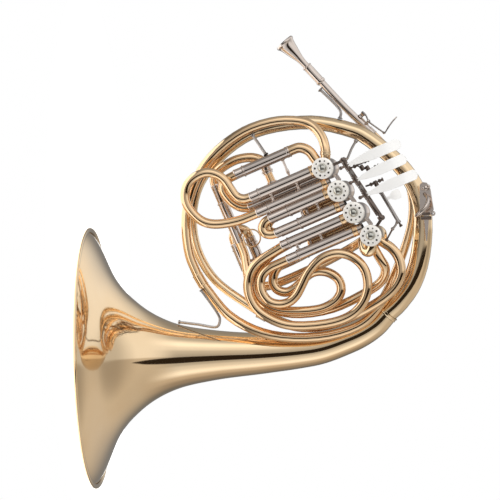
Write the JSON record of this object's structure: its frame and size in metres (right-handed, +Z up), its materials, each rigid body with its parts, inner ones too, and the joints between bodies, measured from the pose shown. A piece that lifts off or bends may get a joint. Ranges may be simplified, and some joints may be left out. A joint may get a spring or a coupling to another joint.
{
  "type": "french horn",
  "caption": "Double french horn with flared bell, coiled tubing, rotary valves, finger and thumb levers, pull-out slides, water key and mouthpiece.",
  "frame": {"origin": "centre of the bounding box at the plane of the bell's mouth, which is the floor the horn stands on", "axes": "+Z up, from the bell's mouth along the bell's axis; -X the side the leadpipe and mouthpiece reach towards; -Y the side of the valve caps and finger levers"},
  "size_m": [0.544, 0.3176, 0.4254],
  "materials": {
    "lacquered_brass": "polished, clear lacquered",
    "nickel_silver": "polished nickel silver",
    "steel": "bright steel",
    "cork": "matt cork"
  },
  "bodies": {
    "horn": {"bell": "lacquered_brass", "bell_rim": "lacquered_brass", "bell_branch": "lacquered_brass", "feed_fourth": "lacquered_brass", "leadpipe": "lacquered_brass", "feed_first": "lacquered_brass", "receiver": "nickel_silver", "casing_1": "nickel_silver", "cap_1": "nickel_silver", "casing_2": "nickel_silver", "cap_2": "nickel_silver", "casing_3": "nickel_silver", "cap_3": "nickel_silver", "casing_4": "lacquered_brass", "cap_4": "nickel_silver", "sleeves_f1": "nickel_silver", "sleeves_f2": "nickel_silver", "sleeves_f3": "nickel_silver", "sleeves_b2": "nickel_silver", "sleeves_b3": "nickel_silver", "sleeves_b1": "nickel_silver", "sleeve_tuning_left": "nickel_silver", "sleeve_tuning_right": "nickel_silver", "feed_tuning": "lacquered_brass", "sleeves_small": "nickel_silver", "feed_small_a": "lacquered_brass", "feed_small_b": "lacquered_brass", "bell_ferrule": "nickel_silver", "branch_ferrule": "nickel_silver", "lever_axle": "steel", "lever_bracket": "nickel_silver", "lever_spring_1": "steel", "lever_spring_2": "steel", "thumb_axle": "steel", "water_key_saddle": "nickel_silver", "hook_plate": "nickel_silver", "hook_screw": "nickel_silver", "bell_brace": "nickel_silver", "top_brace": "nickel_silver", "leadpipe_brace": "nickel_silver"},
    "slide_f1": {"slide_f1": "lacquered_brass"},
    "slide_f2": {"slide_f2": "lacquered_brass"},
    "slide_f3": {"slide_f3": "lacquered_brass"},
    "slide_b1": {"slide_b1": "lacquered_brass"},
    "slide_b2": {"slide_b2": "lacquered_brass"},
    "slide_b3": {"slide_b3": "lacquered_brass"},
    "slide_tuning": {"slide_tuning": "lacquered_brass"},
    "slide_small": {"slide_small": "lacquered_brass"},
    "mouthpiece": {"mouthpiece": "nickel_silver"},
    "lever_1": {"lever_1": "nickel_silver"},
    "lever_2": {"lever_2": "nickel_silver"},
    "lever_3": {"lever_3": "nickel_silver"},
    "thumb_lever": {"thumb_lever": "nickel_silver"},
    "rotor_1": {"rotor_1": "steel"},
    "rotor_2": {"rotor_2": "steel"},
    "rotor_3": {"rotor_3": "steel"},
    "rotor_4": {"rotor_4": "steel"},
    "water_key": {"water_key": "nickel_silver", "water_key_cork": "cork"},
    "finger_hook": {"finger_hook": "nickel_silver"}
  },
  "joints": [
    {"name": "first_f_slide_pull", "type": "slide", "parent": "horn", "child": "slide_f1", "axis": [0.3706, 0, -0.9288], "range_m": [0, 0.03]},
    {"name": "second_f_slide_pull", "type": "slide", "parent": "horn", "child": "slide_f2", "axis": [0.3706, 0, -0.9288], "range_m": [0, 0.02]},
    {"name": "third_f_slide_pull", "type": "slide", "parent": "horn", "child": "slide_f3", "axis": [0.3706, 0, -0.9288], "range_m": [0, 0.025]},
    {"name": "first_b_slide_pull", "type": "slide", "parent": "horn", "child": "slide_b1", "axis": [0.3706, 0, -0.9288], "range_m": [0, 0.03]},
    {"name": "second_b_slide_pull", "type": "slide", "parent": "horn", "child": "slide_b2", "axis": [0.3706, 0, -0.9288], "range_m": [0, 0.02]},
    {"name": "third_b_slide_pull", "type": "slide", "parent": "horn", "child": "slide_b3", "axis": [0.3706, 0, -0.9288], "range_m": [0, 0.02]},
    {"name": "tuning_slide_pull", "type": "slide", "parent": "horn", "child": "slide_tuning", "axis": [-0.9288, 0, -0.3706], "range_m": [0, 0.03]},
    {"name": "small_slide_pull", "type": "slide", "parent": "horn", "child": "slide_small", "axis": [-0.9288, 0, -0.3706], "range_m": [0, 0.02]},
    {"name": "mouthpiece_pull", "type": "slide", "parent": "horn", "child": "mouthpiece", "axis": [-0.7459, 0, -0.666], "range_m": [0, 0.02]},
    {"name": "lever_1_press", "type": "hinge", "parent": "horn", "child": "lever_1", "pos_m": [-0.11225, -0.074, 0.32714], "axis": [-0.847, 0, -0.5316], "range_deg": [0, 14], "stiffness_Nm_per_rad": 0.6, "springref_deg": -5.73},
    {"name": "lever_2_press", "type": "hinge", "parent": "horn", "child": "lever_2", "pos_m": [-0.09417, -0.074, 0.33849], "axis": [-0.847, 0, -0.5316], "range_deg": [0, 14], "stiffness_Nm_per_rad": 0.6, "springref_deg": -5.73},
    {"name": "lever_3_press", "type": "hinge", "parent": "horn", "child": "lever_3", "pos_m": [-0.07609, -0.074, 0.34984], "axis": [-0.847, 0, -0.5316], "range_deg": [0, 14], "stiffness_Nm_per_rad": 0.6, "springref_deg": -5.73},
    {"name": "thumb_lever_press", "type": "hinge", "parent": "horn", "child": "thumb_lever", "pos_m": [-0.08011, -0.054, 0.36531], "axis": [-0.8702, 0, -0.4927], "range_deg": [0, 14], "stiffness_Nm_per_rad": 0.6, "springref_deg": -5.73},
    {"name": "rotor_1_turn", "type": "hinge", "parent": "horn", "child": "rotor_1", "pos_m": [-0.10969, -0.034, 0.29698], "axis": [0, 1, 0], "range_deg": [0, 84]},
    {"name": "rotor_2_turn", "type": "hinge", "parent": "horn", "child": "rotor_2", "pos_m": [-0.08177, -0.034, 0.31523], "axis": [0, 1, 0], "range_deg": [0, 84]},
    {"name": "rotor_3_turn", "type": "hinge", "parent": "horn", "child": "rotor_3", "pos_m": [-0.05533, -0.034, 0.33342], "axis": [0, 1, 0], "range_deg": [0, 84]},
    {"name": "rotor_4_turn", "type": "hinge", "parent": "horn", "child": "rotor_4", "pos_m": [-0.02694, -0.034, 0.35347], "axis": [0, 1, 0], "range_deg": [0, 84]},
    {"name": "water_key_press", "type": "hinge", "parent": "horn", "child": "water_key", "pos_m": [-0.16576, 0.008, 0.34516], "axis": [0, 1, 0], "range_deg": [0, 14], "stiffness_Nm_per_rad": 0.15, "springref_deg": -8.59},
    {"name": "finger_hook_adjust", "type": "slide", "parent": "horn", "child": "finger_hook", "axis": [0.9835, 0, 0.1807], "range_m": [0, 0.008]}
  ],
  "couplings": [
    {"joint": "rotor_1_turn", "follows": "lever_1_press", "ratio": 6},
    {"joint": "rotor_2_turn", "follows": "lever_2_press", "ratio": 6},
    {"joint": "rotor_3_turn", "follows": "lever_3_press", "ratio": 6},
    {"joint": "rotor_4_turn", "follows": "thumb_lever_press", "ratio": 6}
  ]
}
